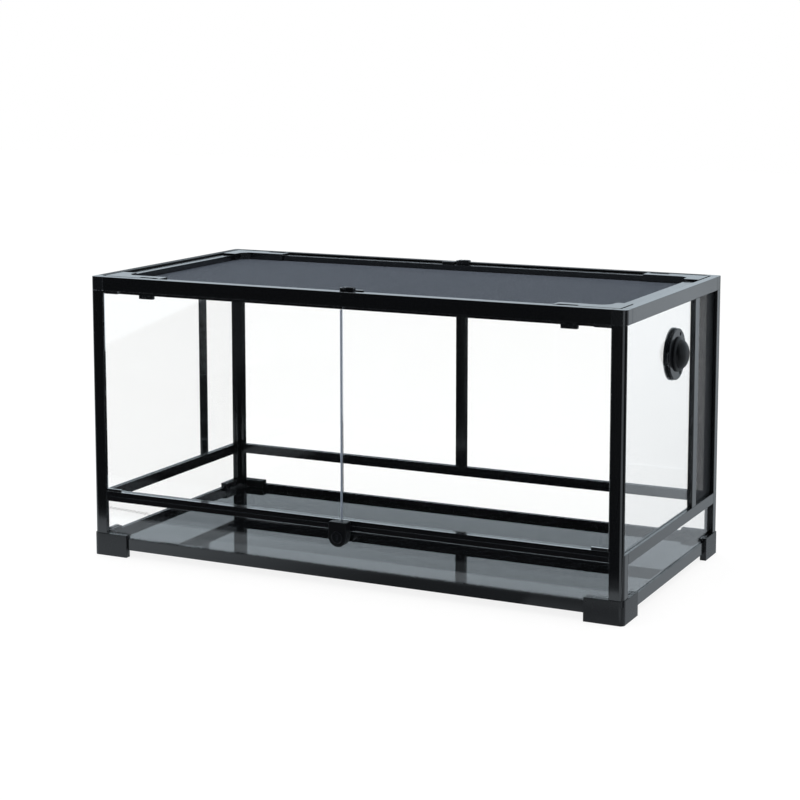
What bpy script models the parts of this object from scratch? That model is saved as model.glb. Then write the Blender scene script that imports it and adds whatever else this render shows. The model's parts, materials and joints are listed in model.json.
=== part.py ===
"""Glass terrarium: rail frame with glass walls, two hinged front doors, a mesh lid and a side port."""

import math

import bmesh
import bpy
from mathutils import Matrix, Vector

# Sizes below are in millimetres, and the helpers turn them into metres
MM = 0.001

# Overall tank
WIDTH = 900.0
DEPTH = 450.0
HEIGHT = 453.0
GAP = 0.3

# How far a cutting shape reaches past the face it cuts, and how deep a joined shape is rooted
PAST = 2.0
ROOT = 5.0

# What stands past the tank's faces, used to centre the whole object on its origin
FOOT_PROUD = 1.5
PORT_REACH = 16.0
LOCK_REACH = 17.0

# Glass and the groove that holds it, as depths in from the outer face of a wall
GLASS_OUT = 5.0
GLASS_IN = 9.0
GROOVE_OUT = GLASS_OUT - GAP
GROOVE_IN = GLASS_IN + GAP
LIP_IN = 12.0

# Roundings: the rails' long edges, the posts' outer corner and the feet's outer corner
EDGE = 0.7
CORNER_ROUND = 3.4
FOOT_ROUND = 4.5
SOCKET_ROUND = 3.6

# Posts
POST_LEG = 20.0
FRONT_LEG = 22.5
FLANGE = 4.0
POST_BOTTOM = 27.3
POST_TOP = 430.7
STEP_UP = 98.0
STEP_DOWN = 102.0
GLASS_START = LIP_IN + GAP

# Feet and base
FOOT_ARM = 60.0
FOOT_BLADE = 8.7
FOOT_INNER = 22.0
FOOT_HEIGHT = 36.0
FOOT_SKIN = 2.5
FOOT_HOLLOW = 11.0
SOCKET_FLOOR = 27.0
BASE_LOW = 12.0
BASE_TOP = 31.0
BASE_OUT = 2.5
BASE_WEB = 24.5
SHELF_LOW = 15.0
SHELF_TOP = 17.7
TONGUE = 15.0
FLOOR_LOW = 18.0
FLOOR_HIGH = 22.0

# Middle rails and door sill
SIDE_RAIL = (85.0, 102.0)
REAR_RAIL = (84.0, 100.0)
RAIL_WEB = (92.0, 95.0)
SILL_LOW = 90.0
SILL_STEP = 98.0
SILL_HIGH = 105.0
SILL_DEPTH = 20.0
SILL_WEB = 96.0
SILL_SKIN = 2.5

# Upright bars in the walls, by their centre along the wall
MULLION_OUT = 0.6
SIDE_MULLION = 103.0
SIDE_MULLION_HALF = 10.0
REAR_MULLION_HALF = 9.0
MULLION_WEB_HALF = 2.0

# Top frame
RIM_LOW = 431.0
RIM_WIDTH = 13.0
TOP_ARM = 22.5
ARM_ROOM = 0.5
GROOVE_TOP = 437.0
LEDGE = (434.7, 437.7)
LEDGE_IN = 22.5
HOLLOW = (3.5, 8.0, 440.0, 450.0)
HEADER_UNDER = 6.4
HEADER_LIP = 9.0
HEADER_LOW = 426.5
PANE_TOP = 436.7
PANE_LOW = 95.3

# Doors
DOOR_OUT = 1.5
DOOR_THICK = 4.0
DOOR_LOW = 105.6
DOOR_HIGH = 430.7
DOOR_GAP = 3.0
PIVOT_IN = 25.4
PIVOT_DEPTH = DOOR_OUT + DOOR_THICK / 2
DOOR_EDGE = 1.5
SHOE_LENGTH = 24.3
SHOE_HALF = 2.2
SHOE_HEIGHT = 4.2
PIN_RADIUS = 1.2
PIN_HOLE = 1.5
PIN_LENGTH = 4.5
PIN_ROOM = 0.5
PIN_ROOT = 1.0

# Lock on the sill
LOCK_HALF = 15.0
LOCK_CENTRE = 82.0
LOCK_TOP = 105.0
LOCK_FRONT = -15.0
BOLT_HALF = 4.5
BOLT_FACE = (-6.4, -2.9)
BOLT_LOW = 76.5
BOLT_TOP = 105.2
PLUG_RADIUS = 9.0
PLUG_BACK = -7.1
BOLT_ROOM = 0.5
KEY_SLOT = (1.0, 4.0, 2.0)

# Lid
LID_OUT = 16.0
LID_IN = 36.0
LID_LOW = 438.0
LID_HIGH = 450.2
NET_GROOVE = 34.0
NET_LOW = 440.0
NET_HIGH = 440.8
NET_EDGE = 40.0
NET_GAPS = (20, 12)
NET_BAR = 4.8
LID_ROUND = 3.0
CAP_LOW = 450.5
CAP_IN = 41.0
CAP_LONG = 118.0
CAP_SHORT = 70.0
CAP_DIAGONAL = 52.0
CAP_SLOT = (81.0, 113.0, 24.6)
SKIRT_LOW = 441.9

# Sliding clips that hold the lid down
CLIP_CENTRE = 93.0
CLIP_DEPTH = (17.8, 24.2)
CLIP_TRAVEL = 8.0
STEM_HALF = 6.0
CLIP_FOOT = (12.5, 13.5, 419.0, 434.4)
CLIP_PAD = (11.0, 450.5, 452.2)
NOTCH_ROOM = 0.8
NOTCH_OUT = 17.2

# Turning latches at the middle of the lid
LATCH_DEPTH = 23.0
FRONT_LATCH = -7.0
REAR_LATCH = 2.5
HUB_RADIUS = 6.5
HUB_TOP = 457.0
NOSE_REACH = 13.5
NOSE_HALF = 2.5
NOSE = (447.5, 449.6)
POCKET = (447.2, 449.9)
POCKET_SIDES = (12.0, 3.2)
POCKET_OUT = 9.0
GRIP_LENGTH = 18.0
GRIP_HALF = 4.0
GRIP_TOP = 458.2
RIB = 1.0
RIBS = 6
SCREW_RECESS = (2.6, 2.5)

# Ventilation screen behind the right-hand bar
VENT_DEPTH = (6.2, 7.8)
VENT_GAPS = (3, 15)
VENT_HOLES = (343.0, 425.0, 108.0, 424.0)
VENT_BAR = 2.4
VENT_CLEAR = 5.0

# Port through the right-hand pane
PORT_ALONG = 7.0
PORT_HEIGHT = 357.5
PORT_HOLE = 28.0
SLEEVE = 27.7
FLANGE_RADIUS = 39.0
NUT_RADIUS = 40.0
BORE = 22.0
SPIGOT = 21.6
CAP_RADIUS = 26.5
CAP_RIM = (1.5, 2.4)
DOME_RADIUS = 22.5
EAR_HALF = 8.0
EAR_REACH = 50.0
EAR_ROOT = 32.0
PORT_FACE = -0.5
NUT_BACK = -13.5
SPIGOT_BACK = -9.0
DOME_LOW = 4.0
CABLE_RECESS = (3.4, 32.0, 67.0, 3.0)
ROUND_STEPS = 48


# Helpers for meshes
def ring(centre, radius, start, end, steps):
    """Points on an arc from one angle to another, in degrees."""
    points = []
    for step in range(steps + 1):
        angle = math.radians(start + (end - start) * step / steps)
        points.append((centre[0] + radius * math.cos(angle), centre[1] + radius * math.sin(angle)))
    return points


def circle(centre, radius, steps):
    """A whole circle, whose last point isn't its first."""
    return ring(centre, radius, 0, 360 - 360 / steps, steps - 1)


def rounded(points, steps=3):
    """An outline whose (x, y, r) corners become small curves that start r from the corner."""
    result = []
    for index, point in enumerate(points):
        corner = Vector(point[:2])
        if len(point) == 2:
            result.append(corner)
            continue
        before = Vector(points[index - 1][:2])
        after = Vector(points[(index + 1) % len(points)][:2])
        start = corner + (before - corner).normalized() * point[2]
        end = corner + (after - corner).normalized() * point[2]
        for step in range(steps + 1):
            t = step / steps
            result.append(start.lerp(corner, t).lerp(corner.lerp(end, t), t))
    return result


# An outline lies in one of three planes and is extruded along the third direction
PLANES = {
    "plan": (Matrix.Identity(4), Vector((0, 0, 1))),
    "wall": (Matrix.Rotation(math.radians(90), 4, "X"), Vector((0, 1, 0))),
    "profile": (Matrix(((0, 0, 1, 0), (1, 0, 0, 0), (0, 1, 0, 0), (0, 0, 0, 1))), Vector((1, 0, 0))),
}


def outline_mesh(name, outlines, low, high, plane="plan"):
    """A flat outline, with holes or separate islands, extruded from low to high."""
    curve = bpy.data.curves.new(name, "CURVE")
    curve.dimensions = "2D"
    curve.fill_mode = "BOTH"
    curve.extrude = (high - low) / 2 * MM
    for outline in outlines:
        points = rounded(outline)
        spline = curve.splines.new("POLY")
        spline.points.add(len(points) - 1)
        for spot, point in zip(spline.points, points):
            spot.co = (point[0] * MM, point[1] * MM, 0, 1)
        spline.use_cyclic_u = True
    holder = bpy.data.objects.new(name, curve)
    bpy.context.scene.collection.objects.link(holder)
    depsgraph = bpy.context.evaluated_depsgraph_get()
    mesh = bpy.data.meshes.new_from_object(holder.evaluated_get(depsgraph))
    bpy.data.objects.remove(holder)
    bpy.data.curves.remove(curve)
    turn, direction = PLANES[plane]
    bm = bmesh.new()
    bm.from_mesh(mesh)
    bmesh.ops.remove_doubles(bm, verts=bm.verts, dist=0.01 * MM)
    bmesh.ops.transform(bm, matrix=turn, verts=bm.verts)
    bmesh.ops.translate(bm, vec=direction * (low + high) / 2 * MM, verts=bm.verts)
    bmesh.ops.recalc_face_normals(bm, faces=bm.faces)
    bm.to_mesh(mesh)
    bm.free()
    mesh.name = name
    mesh.materials.clear()
    return mesh


def box_mesh(name, x, y, z):
    """A box between two values along each axis."""
    spans = (x, y, z)
    centre = Vector([(low + high) / 2 * MM for low, high in spans])
    size = Vector([(high - low) * MM for low, high in spans])
    bm = bmesh.new()
    bmesh.ops.create_cube(bm, size=1.0, matrix=Matrix.LocRotScale(centre, None, size))
    mesh = bpy.data.meshes.new(name)
    bm.to_mesh(mesh)
    bm.free()
    return mesh


def rod_mesh(name, radius, low, high, centre=(0, 0), plane="plan", segments=32):
    """A round rod along the direction that its plane is extruded in."""
    turn, direction = PLANES[plane]
    middle = Vector((centre[0] * MM, centre[1] * MM, 0))
    bm = bmesh.new()
    ends = {"radius1": radius * MM, "radius2": radius * MM, "depth": (high - low) * MM}
    bmesh.ops.create_cone(bm, cap_ends=True, segments=segments, **ends)
    bmesh.ops.translate(bm, vec=middle, verts=bm.verts)
    bmesh.ops.transform(bm, matrix=turn, verts=bm.verts)
    bmesh.ops.translate(bm, vec=direction * (low + high) / 2 * MM, verts=bm.verts)
    mesh = bpy.data.meshes.new(name)
    bm.to_mesh(mesh)
    bm.free()
    return mesh


def turned_mesh(name, profile):
    """An open profile of (radius, height) points for a Screw modifier about Z."""
    bm = bmesh.new()
    spots = [bm.verts.new((radius * MM, 0, height * MM)) for radius, height in profile]
    for first, second in zip(spots, spots[1:]):
        bm.edges.new((first, second))
    mesh = bpy.data.meshes.new(name)
    bm.to_mesh(mesh)
    bm.free()
    return mesh


def net_lines(start, end, low, high, count, bar):
    """Edges of the bars of a net: its outer edge, each hole's two sides, and the other outer edge."""
    pitch = (high - low + bar) / count
    lines = [start]
    for index in range(count):
        lines.append(low + index * pitch)
        lines.append(low + (index + 1) * pitch - bar)
    lines.append(end)
    return lines


def net_mesh(name, columns, rows):
    """A flat sheet with a hole between each pair of neighbouring bars, before it is thickened."""
    bm = bmesh.new()
    bmesh.ops.create_grid(bm, x_segments=len(columns) - 1, y_segments=len(rows) - 1, size=1.0)
    bm.verts.ensure_lookup_table()
    bm.verts.index_update()
    for vert in bm.verts:
        column = round((vert.co.x + 1) / 2 * (len(columns) - 1))
        row = round((vert.co.y + 1) / 2 * (len(rows) - 1))
        vert.co = (columns[column] * MM, rows[row] * MM, 0)
    holes = []
    for face in bm.faces:
        centre = face.calc_center_median() / MM
        column = sum(1 for line in columns if line < centre.x)
        row = sum(1 for line in rows if line < centre.y)
        if column % 2 == 0 and row % 2 == 0:
            holes.append(face)
    bmesh.ops.delete(bm, geom=holes, context="FACES")
    mesh = bpy.data.meshes.new(name)
    bm.to_mesh(mesh)
    bm.free()
    return mesh


# Helpers for objects
def new_collection(name):
    collection = bpy.data.collections.new(name)
    bpy.context.scene.collection.children.link(collection)
    return collection


def make_material(name, colour, roughness, metallic=0.0, transmission=0.0):
    material = bpy.data.materials.new(name)
    material.use_nodes = True
    shader = material.node_tree.nodes["Principled BSDF"]
    shader.inputs["Base Color"].default_value = (*colour, 1.0)
    shader.inputs["Roughness"].default_value = roughness
    shader.inputs["Metallic"].default_value = metallic
    shader.inputs["Transmission Weight"].default_value = transmission
    return material


def make_empty(name, location, turn=0.0, parent=None):
    """A guide at a joint, a wall or a corner of the tank, in millimetres and degrees."""
    empty = bpy.data.objects.new(name, None)
    empty.location = Vector(location) * MM
    empty.rotation_euler = (0, 0, math.radians(turn))
    empty.parent = parent
    parts.objects.link(empty)
    return empty


def make_piece(name, mesh, finish, parent, location=(0, 0, 0), rotation=(0, 0, 0)):
    """One sub-part of the terrarium, in its own material."""
    piece = bpy.data.objects.new(name, mesh.copy())
    piece.data.name = name
    piece.location = Vector(location) * MM
    piece.rotation_euler = [math.radians(angle) for angle in rotation]
    piece.parent = parent
    colour, roughness, metallic, transmission = FINISHES[finish]
    piece.data.materials.append(make_material(name, colour, roughness, metallic, transmission))
    parts.objects.link(piece)
    return piece


def add_boolean(piece, mesh, operation):
    """Cuts a mesh out of a piece, or joins it on, in the piece's own frame."""
    cutter = bpy.data.objects.new(mesh.name, mesh)
    cutter.matrix_basis = piece.matrix_basis
    cutter.parent = piece.parent
    cutter.hide_render = True
    cutter.display_type = "WIRE"
    cutters.objects.link(cutter)
    modifier = piece.modifiers.new(mesh.name, "BOOLEAN")
    modifier.operation = operation
    modifier.solver = "EXACT"
    modifier.object = cutter


def cut(piece, *meshes):
    for mesh in meshes:
        add_boolean(piece, mesh, "DIFFERENCE")


def join(piece, *meshes):
    for mesh in meshes:
        add_boolean(piece, mesh, "UNION")


def soften(piece, width, segments=2):
    """Rounds the sharp edges, before any cut."""
    bevel = piece.modifiers.new("soft_edges", "BEVEL")
    bevel.width = width * MM
    bevel.segments = segments
    bevel.limit_method = "ANGLE"
    bevel.angle_limit = math.radians(50)


def turn_profile(piece, steps):
    """Turns an open profile into a round body."""
    screw = piece.modifiers.new("turned", "SCREW")
    screw.axis = "Z"
    screw.steps = steps
    screw.render_steps = steps
    screw.use_merge_vertices = True
    screw.merge_threshold = 0.00001


def thicken(piece, thickness):
    solid = piece.modifiers.new("thickness", "SOLIDIFY")
    solid.thickness = thickness * MM
    solid.offset = 0.0


def swapped(span):
    """The same box along the other arm of a corner."""
    x, y, z = span
    return (y, x, z)


# Corner pieces, drawn in a frame whose X and Y run along the two walls from the tank's outer corner
def corner_outline(outer, inner, end, corner=0.0):
    """An L along two walls, between two depths and up to its arms' ends, with its outer corner rounded."""
    start = (outer, outer, corner) if corner else (outer, outer)
    return [start, (end, outer), (end, inner), (inner, inner), (inner, end), (outer, end)]


def build_feet():
    """A thin outer blade stands on the floor; cheeks and a shelf behind it carry the panes and the floor."""
    edge = -FOOT_PROUD
    body = outline_mesh("foot", [corner_outline(edge, FOOT_BLADE, FOOT_ARM, FOOT_ROUND)], 0, FOOT_HEIGHT)
    hollow = corner_outline(edge + FOOT_SKIN, FOOT_BLADE - FOOT_SKIN, FOOT_ARM - FOOT_SKIN)
    end = FOOT_ARM - EDGE
    cheek = corner_outline(ROOT, LIP_IN, end)
    shelf = corner_outline(ROOT, FOOT_INNER, end)
    above = FOOT_HEIGHT + PAST
    past = FOOT_ARM + PAST
    wide, deep = FRONT_LEG + GAP, LIP_IN + GAP
    # The post's socket and the two grooves for the panes are one opening from above
    socket = [
        (-GAP, -GAP, SOCKET_ROUND),
        (wide, -GAP),
        (wide, GROOVE_OUT),
        (past, GROOVE_OUT),
        (past, GROOVE_IN),
        (wide, GROOVE_IN),
        (wide, deep),
        (deep, deep),
        (deep, wide),
        (GROOVE_IN, wide),
        (GROOVE_IN, past),
        (GROOVE_OUT, past),
        (GROOVE_OUT, wide),
        (-GAP, wide),
    ]
    tongue = ((FOOT_ARM - ROOT, FOOT_ARM + TONGUE), (GLASS_OUT, GLASS_IN), (BASE_LOW, BASE_WEB - GAP))
    cuts = [
        outline_mesh("foot_underside", [hollow], -PAST, FOOT_HOLLOW),
        outline_mesh("foot_socket", [socket], SOCKET_FLOOR, above),
    ]
    joins = [
        outline_mesh("foot_cheek", [cheek], BASE_LOW, FOOT_HEIGHT - EDGE),
        outline_mesh("foot_shelf", [shelf], SHELF_LOW, SHELF_TOP),
        box_mesh("foot_tongue_x", *tongue),
        box_mesh("foot_tongue_y", *swapped(tongue)),
    ]
    for name, corner in corners.items():
        foot = make_piece("foot_" + name, body, "black_plastic", corner)
        soften(foot, EDGE, 1)
        join(foot, *joins)
        cut(foot, *cuts)


def groove_section(leg_x, leg_y):
    """An L-shaped post with a groove for a pane in each leg."""
    return [
        (0, 0, CORNER_ROUND),
        (leg_x, 0, EDGE),
        (leg_x, GROOVE_OUT),
        (LIP_IN, GROOVE_OUT),
        (LIP_IN, GROOVE_IN),
        (POST_LEG, GROOVE_IN),
        (POST_LEG, LIP_IN),
        (LIP_IN, LIP_IN),
        (LIP_IN, POST_LEG),
        (GROOVE_IN, POST_LEG),
        (GROOVE_IN, LIP_IN),
        (GROOVE_OUT, LIP_IN),
        (GROOVE_OUT, leg_y),
        (0, leg_y, EDGE),
    ]


def flange_section():
    """A front post above the sill: a thin flange with a lip behind the side pane."""
    return [
        (0, 0, CORNER_ROUND),
        (FRONT_LEG, 0, EDGE),
        (FRONT_LEG, FLANGE),
        (LIP_IN, FLANGE),
        (LIP_IN, LIP_IN),
        (GROOVE_IN, LIP_IN),
        (GROOVE_IN, FLANGE),
        (0, FLANGE),
    ]


def mirrored(outline):
    """The same outline with its two arms exchanged."""
    return [(point[1], point[0], *point[2:]) for point in reversed(outline)]


def build_posts():
    for name in ("rear_left", "rear_right"):
        mesh = outline_mesh("post", [groove_section(POST_LEG, POST_LEG)], POST_BOTTOM, POST_TOP)
        make_piece("post_" + name, mesh, "black_metal", corners[name])
    sections = (groove_section(FRONT_LEG, POST_LEG), flange_section())
    for name, (lower, upper) in (
        ("front_left", sections),
        ("front_right", [mirrored(section) for section in sections]),
    ):
        mesh = outline_mesh("post", [lower], POST_BOTTOM, STEP_DOWN)
        post = make_piece("post_" + name, mesh, "black_metal", corners[name])
        join(post, outline_mesh("post_flange_" + name, [upper], STEP_UP, POST_TOP))


def build_top_corners():
    rim = [
        (0, 0, CORNER_ROUND),
        (TOP_ARM, 0),
        (TOP_ARM, RIM_WIDTH),
        (RIM_WIDTH, RIM_WIDTH),
        (RIM_WIDTH, TOP_ARM),
        (0, TOP_ARM),
    ]
    body = outline_mesh("top_corner", [rim], RIM_LOW, HEIGHT)
    near, far, low, high = HOLLOW
    tongue = ((TOP_ARM - ROOT, TOP_ARM + TONGUE), (near + GAP, far - GAP), (low + GAP, high - GAP))
    inside = (RIM_WIDTH - ROOT, LEDGE_IN)
    joins = [
        box_mesh("corner_ledge", inside, inside, LEDGE),
        box_mesh("corner_tongue_x", *tongue),
        box_mesh("corner_tongue_y", *swapped(tongue)),
    ]
    for name, corner in corners.items():
        piece = make_piece("top_corner_" + name, body, "black_plastic", corner)
        soften(piece, EDGE / 2)
        join(piece, *joins)


# Rails and panes, drawn in a frame with X along the wall, Y in from its outer face and Z up
def build_base():
    profile = [
        (BASE_OUT, BASE_LOW, EDGE),
        (GROOVE_OUT, BASE_LOW),
        (GROOVE_OUT, BASE_WEB),
        (GROOVE_IN, BASE_WEB),
        (GROOVE_IN, BASE_LOW),
        (LIP_IN, BASE_LOW),
        (LIP_IN, SHELF_LOW),
        (FOOT_INNER, SHELF_LOW),
        (FOOT_INNER, SHELF_TOP),
        (LIP_IN, SHELF_TOP),
        (LIP_IN, BASE_TOP),
        (GROOVE_IN, BASE_TOP),
        (GROOVE_IN, SOCKET_FLOOR),
        (GROOVE_OUT, SOCKET_FLOOR),
        (GROOVE_OUT, BASE_TOP),
        (BASE_OUT, BASE_TOP, EDGE),
    ]
    for name, wall in walls.items():
        half = SPANS[name] / 2 - FOOT_ARM - GAP
        mesh = outline_mesh("base_rail", [profile], -half, half, "profile")
        make_piece("base_rail_" + name, mesh, "black_metal", wall)
    x = WIDTH / 2 - GLASS_START
    y = DEPTH / 2 - GLASS_START
    mesh = box_mesh("floor_glass", (-x, x), (-y, y), (FLOOR_LOW, FLOOR_HIGH))
    make_piece("floor_glass", mesh, "dark_glass", tank)


def build_middle_rails():
    for name, (low, high) in (("left", SIDE_RAIL), ("right", SIDE_RAIL), ("rear", REAR_RAIL)):
        profile = [
            (0, low, EDGE),
            (GROOVE_OUT, low),
            (GROOVE_OUT, RAIL_WEB[0]),
            (GROOVE_IN, RAIL_WEB[0]),
            (GROOVE_IN, low),
            (LIP_IN, low),
            (LIP_IN, high),
            (GROOVE_IN, high),
            (GROOVE_IN, RAIL_WEB[1]),
            (GROOVE_OUT, RAIL_WEB[1]),
            (GROOVE_OUT, high),
            (0, high, EDGE),
        ]
        half = SPANS[name] / 2 - POST_LEG - GAP
        mesh = outline_mesh("mid_rail", [profile], -half, half, "profile")
        rail = make_piece("mid_rail_" + name, mesh, "black_metal", walls[name])
        reach = SPANS[name] / 2 - GLASS_START - GAP
        web = (RAIL_WEB[0] + GAP, RAIL_WEB[1] - GAP)
        join(rail, box_mesh("mid_rail_tongues_" + name, (-reach, reach), (GLASS_OUT, GLASS_IN), web))


def build_sill():
    profile = [
        (0, SILL_LOW, EDGE),
        (GROOVE_OUT, SILL_LOW),
        (GROOVE_OUT, SILL_WEB),
        (GROOVE_IN, SILL_WEB),
        (GROOVE_IN, SILL_LOW),
        (LIP_IN, SILL_LOW),
        (LIP_IN, SILL_HIGH - SILL_SKIN),
        (SILL_DEPTH, SILL_HIGH - SILL_SKIN),
        (SILL_DEPTH, SILL_HIGH, EDGE),
        (DOOR_OUT, SILL_HIGH, EDGE),
        (DOOR_OUT, SILL_STEP),
        (0, SILL_STEP, EDGE),
    ]
    half = WIDTH / 2 - FRONT_LEG - GAP
    mesh = outline_mesh("door_sill", [profile], -half, half, "profile")
    sill = make_piece("door_sill", mesh, "black_metal", walls["front"])
    for side in (-1, 1):
        spot = (side * (WIDTH / 2 - PIVOT_IN), PIVOT_DEPTH)
        bottom = SILL_HIGH - PIN_LENGTH - PIN_ROOM
        cut(sill, rod_mesh("sill_pin_hole", PIN_HOLE, bottom, SILL_HIGH + PAST, spot, segments=16))


def build_mullions():
    for name, centre, half, low in (
        ("right", SIDE_MULLION, SIDE_MULLION_HALF, SIDE_RAIL[1]),
        ("rear", 0.0, REAR_MULLION_HALF, REAR_RAIL[1]),
    ):
        section = [
            (centre - half, MULLION_OUT, EDGE),
            (centre + half, MULLION_OUT, EDGE),
            (centre + half, GROOVE_OUT),
            (centre + MULLION_WEB_HALF, GROOVE_OUT),
            (centre + MULLION_WEB_HALF, GROOVE_IN),
            (centre + half, GROOVE_IN),
            (centre + half, LIP_IN, EDGE),
            (centre - half, LIP_IN, EDGE),
            (centre - half, GROOVE_IN),
            (centre - MULLION_WEB_HALF, GROOVE_IN),
            (centre - MULLION_WEB_HALF, GROOVE_OUT),
            (centre - half, GROOVE_OUT),
        ]
        mesh = outline_mesh("mullion", [section], low + GAP, POST_TOP)
        make_piece("mullion_" + name, mesh, "black_metal", walls[name])
    low, high = -SIDE_MULLION - SIDE_MULLION_HALF, -SIDE_MULLION + SIDE_MULLION_HALF
    strip = [(low, MULLION_OUT, EDGE), (high, MULLION_OUT, EDGE), (high, GROOVE_OUT), (low, GROOVE_OUT)]
    mesh = outline_mesh("mullion", [strip], SIDE_RAIL[1] + GAP, POST_TOP)
    make_piece("mullion_left", mesh, "black_metal", walls["left"])


def build_top_rails():
    near, far, low, high = HOLLOW
    hollow = [(near, low), (far, low), (far, high), (near, high)]
    plain = [
        (0, RIM_LOW, EDGE),
        (GROOVE_OUT, RIM_LOW),
        (GROOVE_OUT, GROOVE_TOP),
        (GROOVE_IN, GROOVE_TOP),
        (GROOVE_IN, RIM_LOW),
        (LIP_IN, RIM_LOW),
        (LIP_IN, LEDGE[0]),
        (LEDGE_IN, LEDGE[0]),
        (LEDGE_IN, LEDGE[1]),
        (RIM_WIDTH, LEDGE[1]),
        (RIM_WIDTH, HEIGHT, EDGE),
        (0, HEIGHT, EDGE),
    ]
    header = [
        (0, RIM_LOW, EDGE),
        (HEADER_UNDER, RIM_LOW),
        (HEADER_UNDER, HEADER_LOW),
        (HEADER_LIP, HEADER_LOW),
        (HEADER_LIP, LEDGE[0]),
        (LEDGE_IN, LEDGE[0]),
        (LEDGE_IN, LEDGE[1]),
        (RIM_WIDTH, LEDGE[1]),
        (RIM_WIDTH, HEIGHT, EDGE),
        (0, HEIGHT, EDGE),
    ]
    for name, wall in walls.items():
        half = SPANS[name] / 2 - TOP_ARM - GAP
        profile = header if name == "front" else plain
        mesh = outline_mesh("top_rail", [profile, hollow], -half, half, "profile")
        rail = make_piece("top_rail_" + name, mesh, "black_metal", wall)
        if name in ("left", "right"):
            continue
        # Notches that let the clips' feet through the ledge, and a pocket for the latch's nose
        for side in (-1, 1):
            centre = side * (WIDTH / 2 - CLIP_CENTRE)
            reach = CLIP_FOOT[1] + NOTCH_ROOM
            across = (centre - reach, centre + reach)
            height = (LEDGE[0] - PAST, LEDGE[1] + PAST)
            cut(rail, box_mesh("clip_notch", across, (NOTCH_OUT, LEDGE_IN + PAST), height))
        if name == "front":
            pocket = (FRONT_LATCH - POCKET_SIDES[0], FRONT_LATCH + POCKET_SIDES[1])
        else:
            pocket = (-REAR_LATCH - POCKET_SIDES[1], -REAR_LATCH + POCKET_SIDES[0])
        cut(rail, box_mesh("latch_pocket", pocket, (POCKET_OUT, RIM_WIDTH + PAST), POCKET))
        if name == "front":
            for side in (-1, 1):
                spot = (side * (WIDTH / 2 - PIVOT_IN), PIVOT_DEPTH)
                top = RIM_LOW + PIN_LENGTH + PIN_ROOM
                cut(rail, rod_mesh("header_pin_hole", PIN_HOLE, RIM_LOW - PAST, top, spot, segments=16))


def build_panes():
    for name, wall in walls.items():
        half = SPANS[name] / 2 - GLASS_START
        top = (SILL_WEB if name == "front" else RAIL_WEB[0]) - GAP
        outline = [(-half, POST_BOTTOM), (half, POST_BOTTOM), (half, top), (-half, top)]
        mesh = outline_mesh("lower_pane", [outline], GLASS_OUT, GLASS_IN, "wall")
        make_piece("lower_pane_" + name, mesh, "glass", wall)

    notch = TOP_ARM + ARM_ROOM
    end = WIDTH / 2 - GLASS_START
    web = MULLION_WEB_HALF + GAP
    rear = [
        (web, PANE_LOW),
        (end, PANE_LOW),
        (end, POST_TOP),
        (WIDTH / 2 - notch, POST_TOP),
        (WIDTH / 2 - notch, PANE_TOP),
        (web, PANE_TOP),
    ]
    for name, side in (("rear_left", 1), ("rear_right", -1)):
        outline = [(side * x, z) for x, z in rear]
        mesh = outline_mesh("upper_pane", [outline], GLASS_OUT, GLASS_IN, "wall")
        make_piece("upper_pane_" + name, mesh, "glass", walls["rear"])

    # The side panes start right behind the front flange, and step back behind the post below the sill
    front = -DEPTH / 2 + FLANGE + GAP
    behind = -DEPTH / 2 + GLASS_START
    step = STEP_DOWN + 2 * GAP
    start = [
        (-DEPTH / 2 + notch, PANE_TOP),
        (-DEPTH / 2 + notch, POST_TOP),
        (front, POST_TOP),
        (front, step),
        (behind, step),
        (behind, PANE_LOW),
    ]
    bar = SIDE_MULLION - MULLION_WEB_HALF - GAP
    hole = circle((PORT_ALONG, PORT_HEIGHT), PORT_HOLE, ROUND_STEPS)
    outline = start + [(bar, PANE_LOW), (bar, PANE_TOP)]
    mesh = outline_mesh("upper_pane", [outline, hole], GLASS_OUT, GLASS_IN, "wall")
    make_piece("upper_pane_right", mesh, "glass", walls["right"])
    back = DEPTH / 2 - GLASS_START
    shoulder = DEPTH / 2 - notch
    outline = start + [(back, PANE_LOW), (back, POST_TOP), (shoulder, POST_TOP), (shoulder, PANE_TOP)]
    outline = [(-x, z) for x, z in outline]
    mesh = outline_mesh("upper_pane", [outline], GLASS_OUT, GLASS_IN, "wall")
    make_piece("upper_pane_left", mesh, "glass", walls["left"])


def build_vent():
    near = SIDE_MULLION + MULLION_WEB_HALF + GAP
    far = DEPTH / 2 - GLASS_START
    left, right, low, high = VENT_HOLES
    columns = net_lines(near, far, left - DEPTH / 2, right - DEPTH / 2, VENT_GAPS[0], VENT_BAR)
    rows = net_lines(PANE_LOW, PANE_TOP, low, high, VENT_GAPS[1], VENT_BAR)
    middle = (VENT_DEPTH[0] + VENT_DEPTH[1]) / 2
    mesh = net_mesh("vent_screen", columns, rows)
    vent = make_piece("vent_screen", mesh, "black_metal", walls["right"], (0, middle, 0), (90, 0, 0))
    thicken(vent, VENT_DEPTH[1] - VENT_DEPTH[0])
    # The screen's corner stays clear of the top corner piece; the cutter lies in the screen's own frame
    across = (DEPTH / 2 - TOP_ARM - ARM_ROOM, DEPTH / 2)
    corner = (across, (POST_TOP, PANE_TOP + VENT_CLEAR), (-VENT_CLEAR, VENT_CLEAR))
    cut(vent, box_mesh("vent_corner", *corner))


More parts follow.
